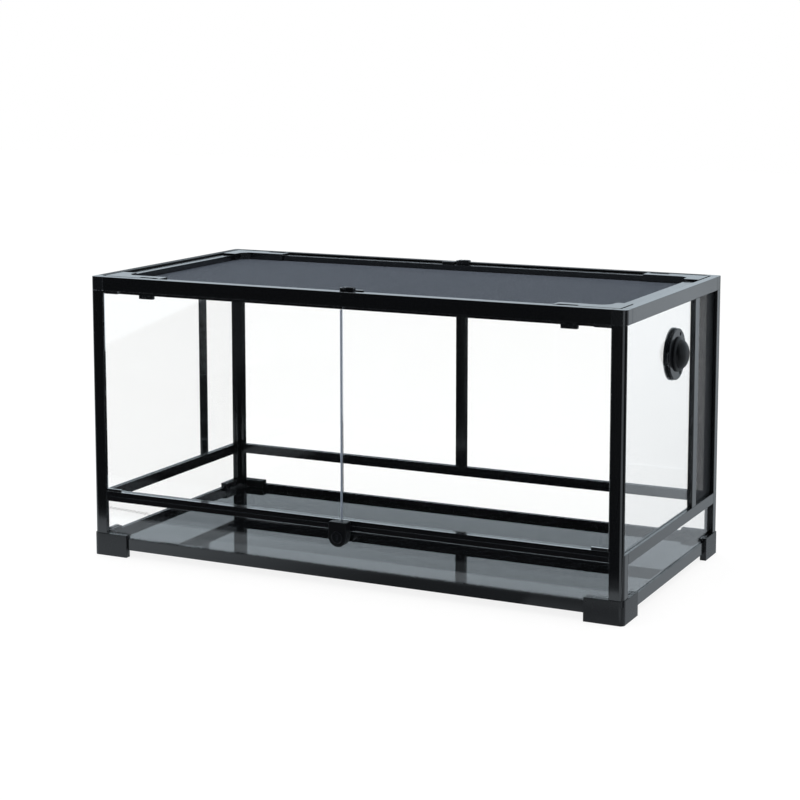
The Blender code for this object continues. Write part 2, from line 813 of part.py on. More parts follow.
# Moving pieces
def build_doors():
    length = WIDTH / 2 - PIVOT_IN - DOOR_GAP / 2
    clear = SHOE_LENGTH + GAP
    low = DOOR_LOW + SHOE_HEIGHT + GAP
    high = DOOR_HIGH - SHOE_HEIGHT - GAP
    pane = [
        (clear, DOOR_LOW),
        (length, DOOR_LOW),
        (length, DOOR_HIGH),
        (clear, DOOR_HIGH),
        (clear, high),
        (-DOOR_EDGE, high),
        (-DOOR_EDGE, low),
        (clear, low),
    ]
    shoe = ring((0, 0), SHOE_HALF, 90, 270, 8) + [(SHOE_LENGTH, -SHOE_HALF), (SHOE_LENGTH, SHOE_HALF)]
    for name, side in (("left", 1), ("right", -1)):
        spot = (-side * (WIDTH / 2 - PIVOT_IN), -DEPTH / 2 + PIVOT_DEPTH, 0)
        axis = make_empty("door_axis_" + name, spot, parent=tank)
        outline = [(side * x, z) for x, z in pane]
        mesh = outline_mesh("door_glass", [outline], -DOOR_THICK / 2, DOOR_THICK / 2, "wall")
        make_piece("door_glass_" + name, mesh, "glass", axis)
        outline = [(side * x, y) for x, y in shoe]
        for level, bottom, pin in (
            ("top", DOOR_HIGH - SHOE_HEIGHT, (DOOR_HIGH - PIN_ROOT, DOOR_HIGH + PIN_LENGTH)),
            ("bottom", DOOR_LOW, (DOOR_LOW - PIN_LENGTH, DOOR_LOW + PIN_ROOT)),
        ):
            mesh = outline_mesh("door_pivot", [outline], bottom, bottom + SHOE_HEIGHT)
            pivot = make_piece("door_pivot_" + level + "_" + name, mesh, "black_plastic", axis)
            join(pivot, rod_mesh("pivot_pin", PIN_RADIUS, *pin, segments=16))


def build_lock():
    arch = ring((0, LOCK_CENTRE), LOCK_HALF, 180, 360, 16)
    outline = [(LOCK_HALF, LOCK_TOP, 2.0), (-LOCK_HALF, LOCK_TOP, 2.0)] + arch
    mesh = outline_mesh("lock_housing", [outline], LOCK_FRONT, -GAP, "wall")
    housing = make_piece("lock_housing", mesh, "black_plastic", walls["front"])
    soften(housing, EDGE)
    front = -LOCK_REACH
    spot = (0, LOCK_CENTRE)
    side = BOLT_HALF + GAP
    behind = (BOLT_FACE[0] - BOLT_ROOM, BOLT_FACE[1] + GAP)
    cut(
        housing,
        rod_mesh("lock_bore", PLUG_RADIUS + GAP, front - PAST, PLUG_BACK + GAP, spot, "wall", 40),
        box_mesh("bolt_slot", (-side, side), behind, (BOLT_LOW - GAP, LOCK_TOP + PAST)),
    )
    mesh = rod_mesh("lock_plug", PLUG_RADIUS, front, PLUG_BACK, (0, 0), "wall", 40)
    plug = make_piece("lock_plug", mesh, "black_plastic", walls["front"], (0, 0, LOCK_CENTRE))
    soften(plug, EDGE)
    half, reach, deep = KEY_SLOT
    cut(plug, box_mesh("key_slot", (-half, half), (front - PAST, front + deep), (-reach, reach)))
    mesh = box_mesh("lock_bolt", (-BOLT_HALF, BOLT_HALF), BOLT_FACE, (BOLT_LOW, BOLT_TOP))
    make_piece("lock_bolt", mesh, "black_metal", walls["front"])


def build_lid():
    lid = make_empty("lid_slide", (0, 0, 0), parent=tank)
    x, y = WIDTH / 2, DEPTH / 2

    def frame(depth, corner=0.0):
        sides = ((-1, -1), (1, -1), (1, 1), (-1, 1))
        points = [(side_x * (x - depth), side_y * (y - depth)) for side_x, side_y in sides]
        return [(*point, corner) for point in points] if corner else points

    mesh = outline_mesh("lid_frame", [frame(LID_OUT, LID_ROUND), frame(LID_IN)], LID_LOW, LID_HIGH)
    rim = make_piece("lid_frame", mesh, "black_plastic", lid)
    inside = ((-x + NET_GROOVE, x - NET_GROOVE), (-y + NET_GROOVE, y - NET_GROOVE))
    cut(rim, box_mesh("net_groove", *inside, (NET_LOW - GAP, NET_HIGH + GAP)))

    clip_outline = [
        (-CLIP_FOOT[1], CLIP_FOOT[3]),
        (-CLIP_FOOT[0], CLIP_FOOT[2], EDGE),
        (CLIP_FOOT[0], CLIP_FOOT[2], EDGE),
        (CLIP_FOOT[1], CLIP_FOOT[3]),
        (STEM_HALF, CLIP_FOOT[3]),
        (STEM_HALF, CLIP_PAD[1]),
        (CLIP_PAD[0], CLIP_PAD[1]),
        (CLIP_PAD[0], CLIP_PAD[2], EDGE),
        (-CLIP_PAD[0], CLIP_PAD[2], EDGE),
        (-CLIP_PAD[0], CLIP_PAD[1]),
        (-STEM_HALF, CLIP_PAD[1]),
        (-STEM_HALF, CLIP_FOOT[3]),
    ]
    cap = [
        (LID_OUT, LID_OUT, LID_ROUND),
        (CAP_SLOT[0], LID_OUT),
        (CAP_SLOT[0], CAP_SLOT[2]),
        (CAP_SLOT[1], CAP_SLOT[2]),
        (CAP_SLOT[1], LID_OUT),
        (CAP_LONG, LID_OUT),
        (CAP_LONG, CAP_IN),
        (CAP_DIAGONAL, CAP_IN, LID_ROUND),
        (CAP_IN, CAP_DIAGONAL, LID_ROUND),
        (CAP_IN, CAP_SHORT),
        (LID_OUT, CAP_SHORT),
    ]
    edge = LID_IN + GAP
    skirt = [
        (edge, edge),
        (CAP_LONG, edge),
        (CAP_LONG, CAP_IN),
        (CAP_DIAGONAL, CAP_IN, LID_ROUND),
        (CAP_IN, CAP_DIAGONAL, LID_ROUND),
        (CAP_IN, CAP_SHORT),
        (edge, CAP_SHORT),
    ]
    for name, side_x, side_y in (
        ("front_left", -1, -1),
        ("front_right", 1, -1),
        ("rear_right", 1, 1),
        ("rear_left", -1, 1),
    ):

        def placed(points):
            return [(side_x * (x - p[0]), side_y * (y - p[1]), *p[2:]) for p in points]

        mesh = outline_mesh("lid_corner", [placed(cap)], CAP_LOW, HEIGHT)
        corner = make_piece("lid_corner_" + name, mesh, "black_plastic", lid)
        join(corner, outline_mesh("lid_skirt", [placed(skirt)], SKIRT_LOW, (CAP_LOW + HEIGHT) / 2))
        near, far = sorted((side_y * (y - CLIP_DEPTH[0]), side_y * (y - CLIP_DEPTH[1])))
        start = side_x * (x - CLIP_CENTRE + STEM_HALF + GAP)
        end = side_x * (x - CLIP_CENTRE - STEM_HALF - CLIP_TRAVEL - GAP)
        slot = (tuple(sorted((start, end))), (near - GAP, far + GAP), (LID_LOW - PAST, LID_HIGH + PAST))
        cut(rim, box_mesh("clip_slot", *slot))
        mesh = outline_mesh("lid_clip", [clip_outline], near, far, "wall")
        make_piece("lid_clip_" + name, mesh, "black_plastic", lid, (side_x * (x - CLIP_CENTRE), 0, 0))

    edge = NET_GROOVE + GAP
    columns = net_lines(-x + edge, x - edge, -x + NET_EDGE, x - NET_EDGE, NET_GAPS[0], NET_BAR)
    rows = net_lines(-y + edge, y - edge, -y + NET_EDGE, y - NET_EDGE, NET_GAPS[1], NET_BAR)
    mesh = net_mesh("lid_mesh", columns, rows)
    net = make_piece("lid_mesh", mesh, "black_metal", lid, (0, 0, (NET_LOW + NET_HIGH) / 2))
    thicken(net, NET_HIGH - NET_LOW)
    build_latches(lid, rim)


def build_latches(lid, rim):
    # The grip's top has a row of shallow ribs, from its rounded end towards the hub
    step = (GRIP_LENGTH - 2 * NOSE_HALF) / (2 * RIBS)
    ribs = []
    for index in range(2 * RIBS):
        drop = RIB if index % 2 else 0.0
        ribs.append((GRIP_LENGTH - (index + 1) * step, GRIP_TOP - drop))
    end = [(GRIP_LENGTH, CAP_LOW, EDGE), (GRIP_LENGTH, GRIP_TOP - 2 * RIB)]
    grip = [(0, CAP_LOW)] + end + ribs + [(0, GRIP_TOP)]
    for name, along, side in (("front", FRONT_LATCH, -1), ("rear", REAR_LATCH, 1)):
        middle = side * (DEPTH / 2 - LATCH_DEPTH)
        recess_y = sorted((side * (DEPTH / 2 - LID_OUT + PAST), middle - side * (HUB_RADIUS + GAP)))
        recess_x = (along - NOSE_REACH - 2 * GAP, along + HUB_RADIUS + GAP)
        cut(rim, box_mesh("latch_recess", recess_x, recess_y, (POCKET[0], LID_HIGH + PAST)))
        hub = rod_mesh("lid_latch", HUB_RADIUS, NOSE[0], HUB_TOP, segments=32)
        latch = make_piece("lid_latch_" + name, hub, "black_plastic", lid, (along, middle, 0))
        join(
            latch,
            box_mesh("latch_nose", (-NOSE_REACH, 0), (-NOSE_HALF, NOSE_HALF), NOSE),
            outline_mesh("latch_grip", [grip], -GRIP_HALF, GRIP_HALF, "wall"),
        )
        radius, deep = SCREW_RECESS
        span = (HUB_TOP - deep, GRIP_TOP + PAST)
        cut(latch, rod_mesh("screw_recess", radius, *span, (1 - radius, 0), segments=16))


def build_port():
    spot = (WIDTH / 2, PORT_ALONG, PORT_HEIGHT)
    outward = (0, 90, 0)
    face = PORT_FACE
    spool = [
        (BORE, face),
        (FLANGE_RADIUS - EDGE, face),
        (FLANGE_RADIUS, face - EDGE),
        (FLANGE_RADIUS, -GROOVE_OUT),
        (SLEEVE, -GROOVE_OUT),
        (SLEEVE, -GROOVE_IN),
        (NUT_RADIUS, -GROOVE_IN),
        (NUT_RADIUS, NUT_BACK),
        (BORE, NUT_BACK),
        (BORE, face),
    ]
    mesh = turned_mesh("port_flange", spool)
    flange = make_piece("port_flange", mesh, "black_plastic", tank, spot, outward)
    turn_profile(flange, ROUND_STEPS)
    ears = []
    for side in (-1, 1):
        centre = (0, side * (EAR_REACH - EAR_HALF))
        tip = ring(centre, EAR_HALF, 0, side * 180, 8)
        ears.append(tip + [(-EAR_HALF, side * EAR_ROOT), (EAR_HALF, side * EAR_ROOT)])
    join(flange, outline_mesh("port_ears", ears, -GROOVE_OUT + GAP, face - GAP))
    # Two recesses for cables in the flange's face, above and below the cap, towards the rear
    radius, away, angle, deep = CABLE_RECESS
    for side in (-1, 1):
        centre = (side * away * math.sin(math.radians(angle)), away * math.cos(math.radians(angle)))
        cut(flange, rod_mesh("cable_recess", radius, face - deep, face + PAST, centre, segments=20))

    dome = []
    for step in range(9):
        angle = math.radians(90 * step / 8)
        height = DOME_LOW + (PORT_REACH - DOME_LOW) * math.cos(angle)
        dome.append((DOME_RADIUS * math.sin(angle), height))
    under = face + GAP
    rim = [(CAP_RADIUS - EDGE, CAP_RIM[1]), (CAP_RADIUS, CAP_RIM[0]), (CAP_RADIUS, under)]
    profile = dome + rim + [(SPIGOT, under), (SPIGOT, SPIGOT_BACK), (0, SPIGOT_BACK)]
    mesh = turned_mesh("port_cap", profile)
    cap = make_piece("port_cap", mesh, "black_plastic", tank, spot, outward)
    turn_profile(cap, ROUND_STEPS)


def shade():
    """Smooth shading with sharp edges kept, on every piece."""
    for piece in parts.objects:
        if piece.type == "MESH":
            piece.data.shade_smooth()
            piece.data.set_sharp_from_angle(angle=math.radians(35))


# Colour, roughness, metallic and transmission of each finish
FINISHES = {
    "black_plastic": ((0.012, 0.012, 0.013), 0.42, 0.0, 0.0),
    "black_metal": ((0.010, 0.010, 0.011), 0.32, 0.0, 0.0),
    "glass": ((0.93, 0.97, 0.95), 0.03, 0.0, 1.0),
    "dark_glass": ((0.010, 0.011, 0.012), 0.03, 0.0, 0.0),
}

for old in list(bpy.data.objects):
    bpy.data.objects.remove(old)

parts = new_collection("glass_terrarium")
cutters = new_collection("glass_terrarium_cutters")

# The tank's own centre, moved so that the whole object stands centred over the origin
tank = make_empty("tank_centre", ((FOOT_PROUD - PORT_REACH) / 2, (LOCK_REACH - FOOT_PROUD) / 2, 0))
SPANS = {"front": WIDTH, "right": DEPTH, "rear": WIDTH, "left": DEPTH}
walls = {
    "front": make_empty("wall_front", (0, -DEPTH / 2, 0), 0, tank),
    "right": make_empty("wall_right", (WIDTH / 2, 0, 0), 90, tank),
    "rear": make_empty("wall_rear", (0, DEPTH / 2, 0), 180, tank),
    "left": make_empty("wall_left", (-WIDTH / 2, 0, 0), 270, tank),
}
corners = {
    "front_left": make_empty("corner_front_left", (-WIDTH / 2, -DEPTH / 2, 0), 0, tank),
    "front_right": make_empty("corner_front_right", (WIDTH / 2, -DEPTH / 2, 0), 90, tank),
    "rear_right": make_empty("corner_rear_right", (WIDTH / 2, DEPTH / 2, 0), 180, tank),
    "rear_left": make_empty("corner_rear_left", (-WIDTH / 2, DEPTH / 2, 0), 270, tank),
}

build_feet()
build_base()
build_posts()
build_middle_rails()
build_sill()
build_mullions()
build_top_rails()
build_top_corners()
build_panes()
build_vent()
build_doors()
build_lock()
build_lid()
build_port()
shade()
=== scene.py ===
import json
import math

import bmesh
import bpy
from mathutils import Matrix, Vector


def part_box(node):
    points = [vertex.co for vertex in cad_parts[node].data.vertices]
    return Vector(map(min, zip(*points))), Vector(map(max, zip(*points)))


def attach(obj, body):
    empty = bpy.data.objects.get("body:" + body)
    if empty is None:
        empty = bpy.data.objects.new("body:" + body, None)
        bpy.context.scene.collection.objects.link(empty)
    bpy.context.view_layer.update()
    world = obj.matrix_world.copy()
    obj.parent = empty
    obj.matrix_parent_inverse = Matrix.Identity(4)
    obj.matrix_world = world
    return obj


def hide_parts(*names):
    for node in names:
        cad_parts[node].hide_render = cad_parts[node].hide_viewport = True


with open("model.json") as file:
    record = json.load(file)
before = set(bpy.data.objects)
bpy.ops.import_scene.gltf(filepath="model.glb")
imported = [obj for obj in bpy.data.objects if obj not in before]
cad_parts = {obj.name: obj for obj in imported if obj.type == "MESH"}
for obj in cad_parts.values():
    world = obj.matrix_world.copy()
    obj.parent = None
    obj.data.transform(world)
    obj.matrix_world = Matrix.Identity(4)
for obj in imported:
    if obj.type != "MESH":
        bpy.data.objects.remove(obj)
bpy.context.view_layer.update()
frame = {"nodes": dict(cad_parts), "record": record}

MM = 0.001
NODES = frame["nodes"]

# The tank's centre in the row frame, and its outer size in plan, in millimetres
CENTRE_X = -7.25
CENTRE_Y = 7.75
WIDTH = 900.0
DEPTH = 450.0

# Camera, solved from the corners of the frame in the photograph
CAMERA_SPOT = (1.3322, -2.7594, 0.8283)
CAMERA_YAW = 26.025
CAMERA_PITCH = 7.087
CAMERA_LENS = 87.43
CAMERA_SHIFT = -0.15


def build_camera():
    camera = bpy.data.objects.new("camera", bpy.data.cameras.new("camera"))
    bpy.context.scene.collection.objects.link(camera)
    camera.location = CAMERA_SPOT
    camera.rotation_euler = (math.radians(90 - CAMERA_PITCH), 0, math.radians(CAMERA_YAW))
    camera.data.lens = CAMERA_LENS
    camera.data.sensor_width = 36.0
    camera.data.shift_y = CAMERA_SHIFT
    bpy.context.scene.camera = camera
    bpy.context.scene.view_settings.view_transform = "Standard"


# Node helpers
class Graph:
    """A short way to write a node tree."""

    def __init__(self, tree):
        self.tree = tree
        tree.nodes.clear()

    def add(self, kind, values=None, **settings):
        node = self.tree.nodes.new(kind)
        for key, value in settings.items():
            setattr(node, key, value)
        for key, value in (values or {}).items():
            if isinstance(value, bpy.types.NodeSocket):
                self.tree.links.new(value, node.inputs[key])
            else:
                node.inputs[key].default_value = value
        return node

    def math(self, operation, first, second=0.0, clamp=False):
        return self.add(
            "ShaderNodeMath", {0: first, 1: second}, operation=operation, use_clamp=clamp
        ).outputs[0]

    def mix(self, factor, first, second):
        """The first colour where the factor is 0, the second where it is 1."""
        return self.add(
            "ShaderNodeMix", {"Factor": factor, "A": first, "B": second}, data_type="RGBA"
        ).outputs["Result"]

    def ramp(self, source, stops):
        """A colour from a few stops, each a position and a colour."""
        node = self.add("ShaderNodeValToRGB", {0: source})
        elements = node.color_ramp.elements
        while len(elements) < len(stops):
            elements.new(0.5)
        for element, (position, colour) in zip(elements, stops):
            element.position = position
            element.color = (*colour, 1)
        return node.outputs["Color"]

    def stretch(self, source, low, high):
        """Maps 0..1 to low..high."""
        return self.add(
            "ShaderNodeMapRange", {"Value": source, "To Min": low, "To Max": high}, clamp=True
        ).outputs["Result"]

    def fade(self, source, start, end, low=0.0, high=1.0):
        """Goes smoothly from low, at start, to high, at end."""
        return self.add(
            "ShaderNodeMapRange",
            {"Value": source, "From Min": start, "From Max": end, "To Min": low, "To Max": high},
            interpolation_type="SMOOTHSTEP",
        ).outputs["Result"]

    def strip(self, source, start, full, fall, end):
        """1 from full to fall, and smoothly down to 0 at start and at end."""
        rising = self.fade(source, start, full)
        falling = self.fade(source, fall, end, 1.0, 0.0)
        return self.math("MULTIPLY", rising, falling)

    def edges(self, radius, gain):
        """A softened normal, and how near an edge the point is, from 0 to 1."""
        rounded = self.add("ShaderNodeBevel", {"Radius": radius}, samples=6).outputs["Normal"]
        flat = self.add("ShaderNodeNewGeometry").outputs["Normal"]
        along = self.add("ShaderNodeVectorMath", {0: rounded, 1: flat}, operation="DOT_PRODUCT")
        turned = self.math("SUBTRACT", 1.0, along.outputs["Value"], clamp=True)
        return rounded, self.math("MULTIPLY", turned, gain, clamp=True)

    def noise(self, scale, detail):
        where = self.add("ShaderNodeTexCoord").outputs["Object"]
        return self.add(
            "ShaderNodeTexNoise", {"Vector": where, "Scale": scale, "Detail": detail}
        ).outputs["Fac"]

    def bump(self, height, distance, strength, normal=None):
        values = {"Height": height, "Distance": distance, "Strength": strength}
        if normal is not None:
            values["Normal"] = normal
        return self.add("ShaderNodeBump", values).outputs["Normal"]


def new_material(name):
    material = bpy.data.materials.new(name)
    material.use_nodes = True
    return material, Graph(material.node_tree)


def finish_surface(graph, shader):
    graph.add("ShaderNodeOutputMaterial", {"Surface": shader})


# Materials. Glass, lacquer and plastic have about the same refraction.
REFRACTION = 1.5
EDGE_SOFTNESS = 0.6 * MM
RAIL_TONE = 0.0022
# Tone of the rails' edges: partly wear, partly a painted highlight
RAIL_WEAR_AND_HIGHLIGHT = 0.045
GLASS_TINT = (0.995, 0.999, 0.997, 1)
GLASS_SHADOW = (0.94, 0.96, 0.95, 1)
FLOOR_DARK = (0.0016, 0.002, 0.0024)
FLOOR_LIGHT = (0.003, 0.0036, 0.0042)


def cool(tone):
    """A grey with a slight blue cast, painted in to stand for the cool light that the surfaces reflect.
    """
    return (tone * 0.85, tone, tone * 1.25, 1)


def finish_opaque(g, colour, roughness, normal, gloss, coat, coat_roughness):
    """An opaque surface, with a clear coat over it where coat is above 0."""
    shader = g.add(
        "ShaderNodeBsdfPrincipled",
        {
            "Base Color": colour,
            "Roughness": roughness,
            "Normal": normal,
            "IOR": REFRACTION,
            "Specular IOR Level": gloss,
            "Coat Weight": coat,
            "Coat Roughness": coat_roughness,
        },
    )
    finish_surface(g, shader.outputs[0])


def coated_metal(name, rough=(0.1, 0.2), coat=0.5, gloss=0.5):
    """Black coating on an extruded rail: faint orange peel; its lighter edges are partly wear, partly a
    painted highlight.
    """
    material, g = new_material(name)
    rounded, edge = g.edges(EDGE_SOFTNESS, 3.5)
    # Lighter edges broken up by noise: partly scuffed wear, partly a painted highlight along the edges
    wear_and_highlight = g.math("MULTIPLY", edge, g.stretch(g.noise(60.0, 4.0), 0.3, 1.4), clamp=True)
    colour = g.mix(wear_and_highlight, cool(RAIL_TONE), cool(RAIL_WEAR_AND_HIGHLIGHT))
    roughness = g.stretch(g.noise(9.0, 5.0), *rough)
    peel = g.bump(g.noise(900.0, 2.0), 0.02 * MM, 0.2, rounded)
    finish_opaque(g, colour, roughness, peel, gloss, coat, coat_roughness=0.08)
    return material


def moulded_plastic(
    name, tone=0.004, rough=(0.22, 0.32), grain=0.3, edge_highlight_tone=0.05, coat=0.0, gloss=0.5
):
    """Moulded plastic with a fine spark-eroded grain, lighter along its edges as a painted highlight."""
    material, g = new_material(name)
    rounded, edge = g.edges(EDGE_SOFTNESS, 2.5)
    # The lighter edges are a painted highlight
    colour = g.mix(edge, cool(tone), cool(edge_highlight_tone))
    roughness = g.stretch(g.noise(25.0, 5.0), *rough)
    texture = g.bump(g.noise(1600.0, 2.0), 0.03 * MM, grain, rounded)
    finish_opaque(g, colour, roughness, texture, gloss, coat, coat_roughness=0.1)
    return material


def clear_glass(name):
    """Float glass that lets the lamp through."""
    material, g = new_material(name)
    smear = g.stretch(g.noise(6.0, 6.0), 0.0, 0.01)
    glass = g.add(
        "ShaderNodeBsdfPrincipled",
        {"Base Color": GLASS_TINT, "Roughness": smear, "IOR": REFRACTION, "Transmission Weight": 1.0},
    )
    through = g.add("ShaderNodeBsdfTransparent", {"Color": GLASS_SHADOW})
    shadow = g.add("ShaderNodeLightPath").outputs["Is Shadow Ray"]
    mix = g.add("ShaderNodeMixShader", {0: shadow, 1: glass.outputs[0], 2: through.outputs[0]})
    finish_surface(g, mix.outputs[0])
    return material


def backed_glass(name):
    """The tank's floor: glass over a black base, as smooth as a mirror."""
    material, g = new_material(name)
    colour = g.ramp(g.noise(14.0, 6.0), ((0.35, FLOOR_DARK), (0.75, FLOOR_LIGHT)))
    smear = g.stretch(g.noise(5.0, 6.0), 0.0, 0.02)
    shader = g.add(
        "ShaderNodeBsdfPrincipled", {"Base Color": colour, "Roughness": smear, "IOR": REFRACTION}
    )
    finish_surface(g, shader.outputs[0])
    return material


def coated_wire(name, dark=0.1, light=0.17):
    """Wire under a thin coating, uneven in tone at random; the default tones, grey on a black wire, are
    a painted sheen.
    """
    material, g = new_material(name)
    colour = g.ramp(g.noise(300.0, 3.0), ((0.3, cool(dark)[:3]), (0.7, cool(light)[:3])))
    roughness = g.stretch(g.noise(500.0, 2.0), 0.25, 0.4)
    texture = g.bump(g.noise(3000.0, 2.0), 0.02 * MM, 0.3)
    shader = g.add(
        "ShaderNodeBsdfPrincipled",
        {"Base Color": colour, "Roughness": roughness, "Normal": texture, "IOR": REFRACTION},
    )
    finish_surface(g, shader.outputs[0])
    return material


RAIL = coated_metal("rail_coating")
DULL_RAIL = coated_metal("dull_rail_coating", rough=(0.3, 0.42), coat=0.0, gloss=0.12)
SMOOTH_RAIL = coated_metal("smooth_rail_coating", rough=(0.03, 0.05))
PLASTIC = moulded_plastic("moulded_plastic")
DULL_PLASTIC = moulded_plastic("dull_plastic", tone=0.003, rough=(0.25, 0.35), grain=0.2, gloss=0.2)
GLOSSY_PLASTIC = moulded_plastic(
    "glossy_plastic", tone=0.003, rough=(0.1, 0.2), grain=0.15, edge_highlight_tone=0.07
)
LID_PLASTIC = moulded_plastic("lid_plastic", rough=(0.14, 0.22), grain=0.15, coat=0.5)
GLASS = clear_glass("clear_glass")
FLOOR_GLASS = backed_glass("floor_glass")
# The lid's black wire takes the grey default tones: a painted sheen
WIRE = coated_wire("coated_wire")
STRIP = moulded_plastic("grey_strip", tone=0.4, rough=(0.2, 0.3), grain=0.1, edge_highlight_tone=0.5)
PRINT = moulded_plastic("grey_print", tone=0.1, rough=(0.4, 0.5), grain=0.1, edge_highlight_tone=0.1)
SCREEN_WIRE = coated_wire("screen_wire", dark=0.008, light=0.016)

# Finishes by the beginning of a node's name. The first row that fits counts.
SPECIAL_FINISHES = (
    (("port_flange", "lid_latch", "lock_plug"), GLOSSY_PLASTIC),
    (("port_cap", "lock_housing", "top_corner_rear_left"), DULL_PLASTIC),
    (("lid_frame", "lid_corner", "lid_clip", "top_corner"), LID_PLASTIC),
    (("top_rail_rear", "top_rail_left"), DULL_RAIL),
    (("base_rail_front",), SMOOTH_RAIL),
)
SLOT_FINISHES = {
    "frame_metal": RAIL,
    "black_plastic": PLASTIC,
    "clear_glass": GLASS,
    "black_mesh": WIRE,
    "dark_floor_glass": FLOOR_GLASS,
}


def dress_nodes():
    for entry in frame["record"]["subparts"]:
        name = entry["node"]
        material = SLOT_FINISHES[entry["material_slot"]]
        for beginnings, finish in reversed(SPECIAL_FINISHES):
            if name.startswith(beginnings):
                material = finish
        NODES[name].data.materials.clear()
        NODES[name].data.materials.append(material)


# Mesh helpers
def link_object(name, data):
    thing = bpy.data.objects.new(name, data)
    bpy.context.scene.collection.objects.link(thing)
    return thing


def mesh_from(bm, name):
    mesh = bpy.data.meshes.new(name)
    bm.to_mesh(mesh)
    bm.free()
    return mesh


def new_piece(name, bm, material, body, smooth=None):
    bmesh.ops.recalc_face_normals(bm, faces=bm.faces)
    mesh = mesh_from(bm, name)
    piece = link_object(name, mesh)
    mesh.materials.append(material)
    if smooth is not None:
        mesh.shade_smooth()
        mesh.set_sharp_from_angle(angle=math.radians(smooth))
    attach(piece, body)
    return piece


def soften(piece, width):
    bevel = piece.modifiers.new("soft_edges", "BEVEL")
    bevel.width = width
    bevel.segments = 3
    bevel.limit_method = "ANGLE"
    bevel.angle_limit = math.radians(40)


def add_box(bm, low, high):
    """A block between two opposite corners."""
    for vert in bmesh.ops.create_cube(bm, size=1.0)["verts"]:
        vert.co = Vector([far if place > 0 else near for place, near, far in zip(vert.co, low, high)])


def add_prism(bm, outline, low, high):
    """An upright prism over an outline in plan, between two heights."""
    face = bm.faces.new([bm.verts.new((x, y, low)) for x, y in outline])
    raised = bmesh.ops.extrude_face_region(bm, geom=[face])["geom"]
    top = [item for item in raised if isinstance(item, bmesh.types.BMVert)]
    bmesh.ops.translate(bm, verts=top, vec=(0, 0, high - low))


def tank_point(x, y, z):
    """A place from the tank's centre, in millimetres, as a place in the row frame, in metres."""
    return Vector(((x + CENTRE_X) * MM, (y + CENTRE_Y) * MM, z * MM))


# Rounded outer corners of the posts, the feet and the top corner pieces
CORNER_ROUND = 6.5 * MM
ARC_STEPS = 10
WASTE_SPARE = 1.0 * MM
WASTE_LOW = -5.0 * MM
WASTE_HIGH = 475.0 * MM
JOINED = 0.001 * MM


def corner_waste(corner, side_x, side_y, radius):
    """What a rounding takes off an upright corner: a square prism less a quarter of a cylinder."""
    outline = []
    for step in range(ARC_STEPS + 1):
        angle = math.radians(90.0 * step / ARC_STEPS)
        inset_x = radius * (1 - math.cos(angle))
        inset_y = radius * (1 - math.sin(angle))
        outline.append((corner.x - side_x * inset_x, corner.y - side_y * inset_y))
    outline.append((corner.x - side_x * radius, corner.y + side_y * WASTE_SPARE))
    outline.append((corner.x + side_x * WASTE_SPARE, corner.y + side_y * WASTE_SPARE))
    outline.append((corner.x + side_x * WASTE_SPARE, corner.y - side_y * radius))
    bm = bmesh.new()
    add_prism(bm, outline, WASTE_LOW, WASTE_HIGH)
    bmesh.ops.recalc_face_normals(bm, faces=bm.faces)
    return link_object("corner_waste", mesh_from(bm, "corner_waste"))


def cut_away(piece, waste):
    """Takes the waste off the piece's own mesh, then removes the waste."""
    cut = piece.modifiers.new("rounding", "BOOLEAN")
    cut.operation = "DIFFERENCE"
    cut.solver = "EXACT"
    cut.object = waste
    evaluated = piece.evaluated_get(bpy.context.evaluated_depsgraph_get())
    shape = bpy.data.meshes.new_from_object(evaluated)
    piece.modifiers.clear()
    whole = piece.data
    piece.data = shape
    bpy.data.meshes.remove(whole)
    spent = waste.data
    bpy.data.objects.remove(waste)
    bpy.data.meshes.remove(spent)
    return shape


def round_corner(node_name, side_x, side_y):
    """The node's own shape with its outer upright corner rounded."""
    node = NODES[node_name]
    low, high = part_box(node_name)
    corner = Vector((high[0] if side_x > 0 else low[0], high[1] if side_y > 0 else low[1], 0))
    proud = abs(corner.x - CENTRE_X * MM) - WIDTH / 2 * MM
    bm = bmesh.new()
    bm.from_mesh(node.data)
    bmesh.ops.remove_doubles(bm, verts=bm.verts, dist=JOINED)
    name = node_name + "_rounded"
    piece = link_object(name, mesh_from(bm, name))
    shape = cut_away(piece, corner_waste(corner, side_x, side_y, CORNER_ROUND + proud))
    shape.materials.clear()
    shape.materials.append(node.data.materials[0])
    shape.shade_smooth()
    shape.set_sharp_from_angle(angle=math.radians(25))
    level = piece.modifiers.new("flat_faces_stay_flat", "WEIGHTED_NORMAL")
    level.keep_sharp = True
    level.weight = 90
    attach(piece, "tank")
    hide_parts(node_name)


def round_corners():
    for family, slot in (
        ("post", "frame_metal"),
        ("foot", "black_plastic"),
        ("top_corner", "black_plastic"),
    ):
        for place, side_x, side_y in (
            ("front_left", -1, -1),
            ("front_right", 1, -1),
            ("rear_right", 1, 1),
            ("rear_left", -1, 1),
        ):
            round_corner(f"{family}_{place}", side_x, side_y)


# Woven wire of the lid and of the ventilation screen
LID_WEAVE = {"pitch": 2.0 * MM, "radius": 0.2 * MM}
LID_NET_INSET = 34.3
LID_NET_HEIGHT = 440.4
SCREEN_WEAVE = {"pitch": 1.7 * MM, "radius": 0.235 * MM}
SCREEN_LOW = 95.3
SCREEN_RISE = 335.4
WIRE_SIDES = 6


def add_wire(bm, start, end, side, up, radius):
    """A straight wire with a six-sided section."""
    rings = []
    for centre in (start, end):
        ring = []
        for step in range(WIRE_SIDES):
            angle = math.radians(360 / WIRE_SIDES * step)
            sideways = side * radius * math.cos(angle)
            upward = up * radius * math.sin(angle)
            ring.append(bm.verts.new(centre + sideways + upward))
        rings.append(ring)
    for step in range(WIRE_SIDES):
        follow = (step + 1) % WIRE_SIDES
        bm.faces.new((rings[0][step], rings[0][follow], rings[1][follow], rings[1][step]))
    bm.faces.new(list(reversed(rings[0])))
    bm.faces.new(rings[1])


